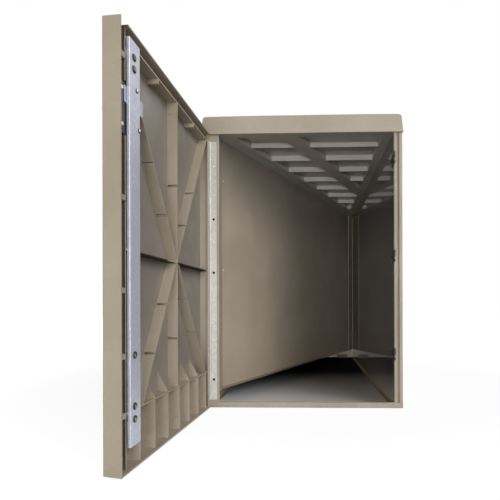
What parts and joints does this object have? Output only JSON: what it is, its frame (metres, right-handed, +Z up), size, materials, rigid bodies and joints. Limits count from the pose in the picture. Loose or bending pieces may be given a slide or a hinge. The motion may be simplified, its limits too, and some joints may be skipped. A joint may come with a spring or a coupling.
{
  "type": "bicycle locker",
  "caption": "Moulded plastic bicycle locker for two bicycles: a slanted partition makes two wedge shaped rooms, each reached by its own ribbed, hinged and locked door",
  "frame": {"origin": "on the ground at the middle of the plan, which is the centre of the four anchor bolt holes", "axes": "+X to the right and +Y into the locker, as seen from in front of the open front door; +Z up"},
  "size_m": [1.0488, 3.0558, 1.409],
  "materials": {
    "roof_plastic": "tan moulded, fine satin grain",
    "wall_plastic": "tan moulded, fine satin grain",
    "door_plastic": "tan moulded, fine satin grain",
    "liner_plastic": "tan, glossy inner side",
    "tan_painted_steel": "tan powder coat",
    "galvanised_steel": "galvanised, dull silver",
    "bright_steel": "zinc plated",
    "zinc_screws": "zinc plated",
    "brass_bolts": "yellow passivated zinc",
    "black_steel": "black paint",
    "cast_handle": "satin chrome plated casting",
    "brass_plug": "brass"
  },
  "bodies": {
    "housing": {"roof_cover": "roof_plastic", "ceiling_panel": "liner_plastic", "partition_panel": "liner_plastic", "right_outer_panel": "wall_plastic", "right_inner_panel": "liner_plastic", "left_outer_panel": "wall_plastic", "left_inner_panel": "liner_plastic", "anchor_brackets": "galvanised_steel", "anchor_screws": "zinc_screws", "front_sill": "wall_plastic", "front_hinge_post": "wall_plastic", "front_hinge_frame_leaf": "galvanised_steel", "front_hinge_pin": "galvanised_steel", "front_hinge_frame_screws": "zinc_screws", "front_partition_angle": "tan_painted_steel", "front_partition_screws": "zinc_screws", "front_keepers": "black_steel", "front_keeper_screws": "zinc_screws", "rear_sill": "wall_plastic", "rear_hinge_post": "wall_plastic", "rear_hinge_frame_leaf": "galvanised_steel", "rear_hinge_pin": "galvanised_steel", "rear_hinge_frame_screws": "zinc_screws", "rear_partition_angle": "tan_painted_steel", "rear_partition_screws": "zinc_screws", "rear_keepers": "black_steel", "rear_keeper_screws": "zinc_screws"},
    "front_door": {"front_door_shell": "door_plastic", "front_hinge_door_leaf": "galvanised_steel", "front_hinge_door_screws": "zinc_screws", "front_lock_strap": "galvanised_steel", "front_strap_bolts": "brass_bolts", "front_strap_rivets": "zinc_screws", "front_lock_case": "black_steel", "front_lock_screws": "zinc_screws", "front_lock_plate": "bright_steel", "front_bar_guides": "wall_plastic", "front_handle_plate": "bright_steel"},
    "front_handle": {"front_handle": "cast_handle", "front_pinion": "bright_steel"},
    "front_key_plug": {"front_key_plug": "brass_plug"},
    "front_lock_bar": {"front_lock_bar": "bright_steel", "front_bar_pins": "bright_steel"},
    "rear_door": {"rear_door_shell": "door_plastic", "rear_hinge_door_leaf": "galvanised_steel", "rear_hinge_door_screws": "zinc_screws", "rear_lock_strap": "galvanised_steel", "rear_strap_bolts": "brass_bolts", "rear_strap_rivets": "zinc_screws", "rear_lock_case": "black_steel", "rear_lock_screws": "zinc_screws", "rear_lock_plate": "bright_steel", "rear_bar_guides": "wall_plastic", "rear_handle_plate": "bright_steel"},
    "rear_handle": {"rear_handle": "cast_handle", "rear_pinion": "bright_steel"},
    "rear_key_plug": {"rear_key_plug": "brass_plug"},
    "rear_lock_bar": {"rear_lock_bar": "bright_steel", "rear_bar_pins": "bright_steel"}
  },
  "joints": [
    {"name": "front_door_hinge", "type": "hinge", "parent": "housing", "child": "front_door", "pos_m": [-0.44, -1.0444, 0.658], "axis": [0, 0, 1], "range_deg": [-5, 93.5]},
    {"name": "front_lock_bar_slide", "type": "slide", "parent": "front_door", "child": "front_lock_bar", "axis": [0, 0, 1], "range_m": [0, 0.02199]},
    {"name": "front_handle_turn", "type": "hinge", "parent": "front_door", "child": "front_handle", "pos_m": [-0.54397, -1.88262, 1.068], "axis": [-0.9981, 0.061, 0], "range_deg": [0, 90]},
    {"name": "front_key_turn", "type": "hinge", "parent": "front_handle", "child": "front_key_plug", "pos_m": [-0.54397, -1.88262, 1.068], "axis": [-0.9981, 0.061, 0], "range_deg": [0, 90]},
    {"name": "rear_door_hinge", "type": "hinge", "parent": "housing", "child": "rear_door", "pos_m": [0.44, 1.0444, 0.658], "axis": [0, 0, 1], "range_deg": [-98.5, 0]},
    {"name": "rear_lock_bar_slide", "type": "slide", "parent": "rear_door", "child": "rear_lock_bar", "axis": [0, 0, 1], "range_m": [0, 0.02199]},
    {"name": "rear_handle_turn", "type": "hinge", "parent": "rear_door", "child": "rear_handle", "pos_m": [-0.403, 1.097, 1.068], "axis": [0, 1, 0], "range_deg": [0, 90]},
    {"name": "rear_key_turn", "type": "hinge", "parent": "rear_handle", "child": "rear_key_plug", "pos_m": [-0.403, 1.097, 1.068], "axis": [0, 1, 0], "range_deg": [0, 90]}
  ],
  "couplings": [
    {"joint": "front_handle_turn", "follows": "front_lock_bar_slide", "rad_per_m": 71.429},
    {"joint": "rear_handle_turn", "follows": "rear_lock_bar_slide", "rad_per_m": 71.429}
  ]
}
